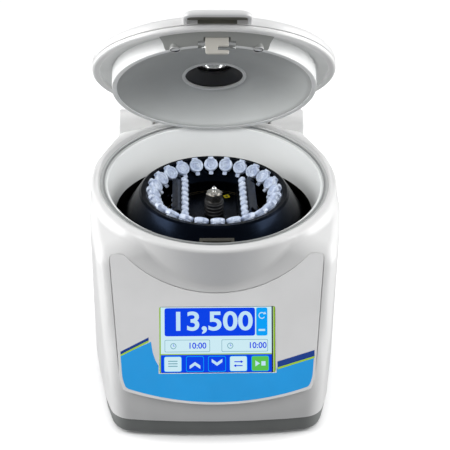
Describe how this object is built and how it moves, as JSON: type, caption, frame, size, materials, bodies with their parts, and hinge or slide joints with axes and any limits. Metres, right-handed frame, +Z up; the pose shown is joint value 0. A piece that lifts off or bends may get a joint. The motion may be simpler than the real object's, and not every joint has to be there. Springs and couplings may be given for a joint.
{
  "type": "laboratory centrifuge",
  "caption": "Bench-top centrifuge: fixed-angle rotor for micro tubes and tube strips in a round chamber, hinged lid with hook latch, sloping touch panel, rear power panel.",
  "frame": {"origin": "middle of the whole object's box, at the plane of the feet; the rotor axis stands 11 mm behind it", "axes": "+X to the user's right, +Y to the back, +Z up"},
  "size_m": [0.228, 0.3058, 0.3539],
  "materials": {
    "housing_white": "satin",
    "lid_white": "satin",
    "liner_grey": "satin",
    "collar_white": "satin",
    "plinth_grey": "textured",
    "panel_silver": "satin film",
    "screen_glass": "polished",
    "module_steel": "satin",
    "board_green": "satin",
    "dark_rubber": "matt",
    "seal_grey": "matt",
    "bowl_dark": "satin",
    "guard_steel": "mill",
    "motor_steel": "satin",
    "bearing_steel": "polished",
    "rotor_black": "black anodised",
    "tube_clear": "translucent",
    "post_black": "satin",
    "nut_steel": "machined",
    "pin_bright": "polished",
    "label_yellow": "film",
    "window_clear": "polished",
    "well_black": "matt",
    "bezel_bright": "polished",
    "hook_cream": "satin",
    "latch_brown": "matt",
    "panel_steel": "satin",
    "black_plastic": "matt"
  },
  "bodies": {
    "base": {"main_housing": "housing_white", "hinge_bay_floor": "liner_grey", "chamber_collar": "collar_white", "base_plinth": "plinth_grey", "front_panel": "panel_silver", "touch_glass": "screen_glass", "display_module": "module_steel", "board_pillars": "module_steel", "board_standoffs": "module_steel", "motor_posts": "module_steel", "mount_plate": "module_steel", "latch_motor": "module_steel", "control_board": "board_green", "power_board": "board_green", "rubber_feet": "dark_rubber", "motor_dampers": "dark_rubber", "shaft_seal": "dark_rubber", "lid_seal": "seal_grey", "chamber_bowl": "bowl_dark", "guard_ring": "guard_steel", "motor_housing": "motor_steel", "motor_bearings": "bearing_steel", "hinge_pins": "bearing_steel", "friction_sleeves": "bearing_steel", "latch_receiver": "latch_brown", "rear_panel": "panel_steel", "fan_grille": "panel_steel", "fan_frame": "black_plastic", "power_inlet": "black_plastic", "switch_frame": "black_plastic"},
    "rotor": {"motor_shaft": "bearing_steel", "rotor_body": "rotor_black", "sample_tubes": "tube_clear", "tube_strips": "tube_clear", "clamp_post": "post_black", "clamp_nut": "nut_steel", "lock_pin": "pin_bright", "balance_label": "label_yellow"},
    "lid": {"lid_outer_shell": "lid_white", "lid_liner": "liner_grey", "liner_screws": "bearing_steel", "window_well": "well_black", "window_bezel": "bezel_bright", "lid_window": "window_clear", "lid_handle": "lid_white", "latch_hook": "hook_cream", "lid_bracket": "liner_grey"},
    "latch_bolt": {"latch_bolt": "latch_brown"},
    "fan_impeller": {"fan_impeller": "black_plastic"},
    "switch_rocker": {"switch_rocker": "black_plastic"},
    "fuse_drawer": {"fuse_drawer": "black_plastic"}
  },
  "joints": [
    {"name": "rotor_spin", "type": "hinge", "parent": "base", "child": "rotor", "pos_m": [0, 0.011, 0.1], "axis": [0, 0, 1], "continuous": true},
    {"name": "lid_hinge", "type": "hinge", "parent": "base", "child": "lid", "pos_m": [0, 0.126, 0.175], "axis": [-1, 0, 0], "range_deg": [-47.6, 0]},
    {"name": "latch_slide", "type": "slide", "parent": "base", "child": "latch_bolt", "axis": [-1, 0, 0], "range_m": [0, 0.007]},
    {"name": "fan_spin", "type": "hinge", "parent": "base", "child": "fan_impeller", "pos_m": [0.04, 0.138, 0.068], "axis": [0, 1, 0], "continuous": true},
    {"name": "switch_rock", "type": "hinge", "parent": "base", "child": "switch_rocker", "pos_m": [-0.019, 0.146, 0.0545], "axis": [1, 0, 0], "range_deg": [-16, 0]},
    {"name": "fuse_drawer_slide", "type": "slide", "parent": "base", "child": "fuse_drawer", "axis": [0, 1, 0], "range_m": [0, 0.013]}
  ]
}
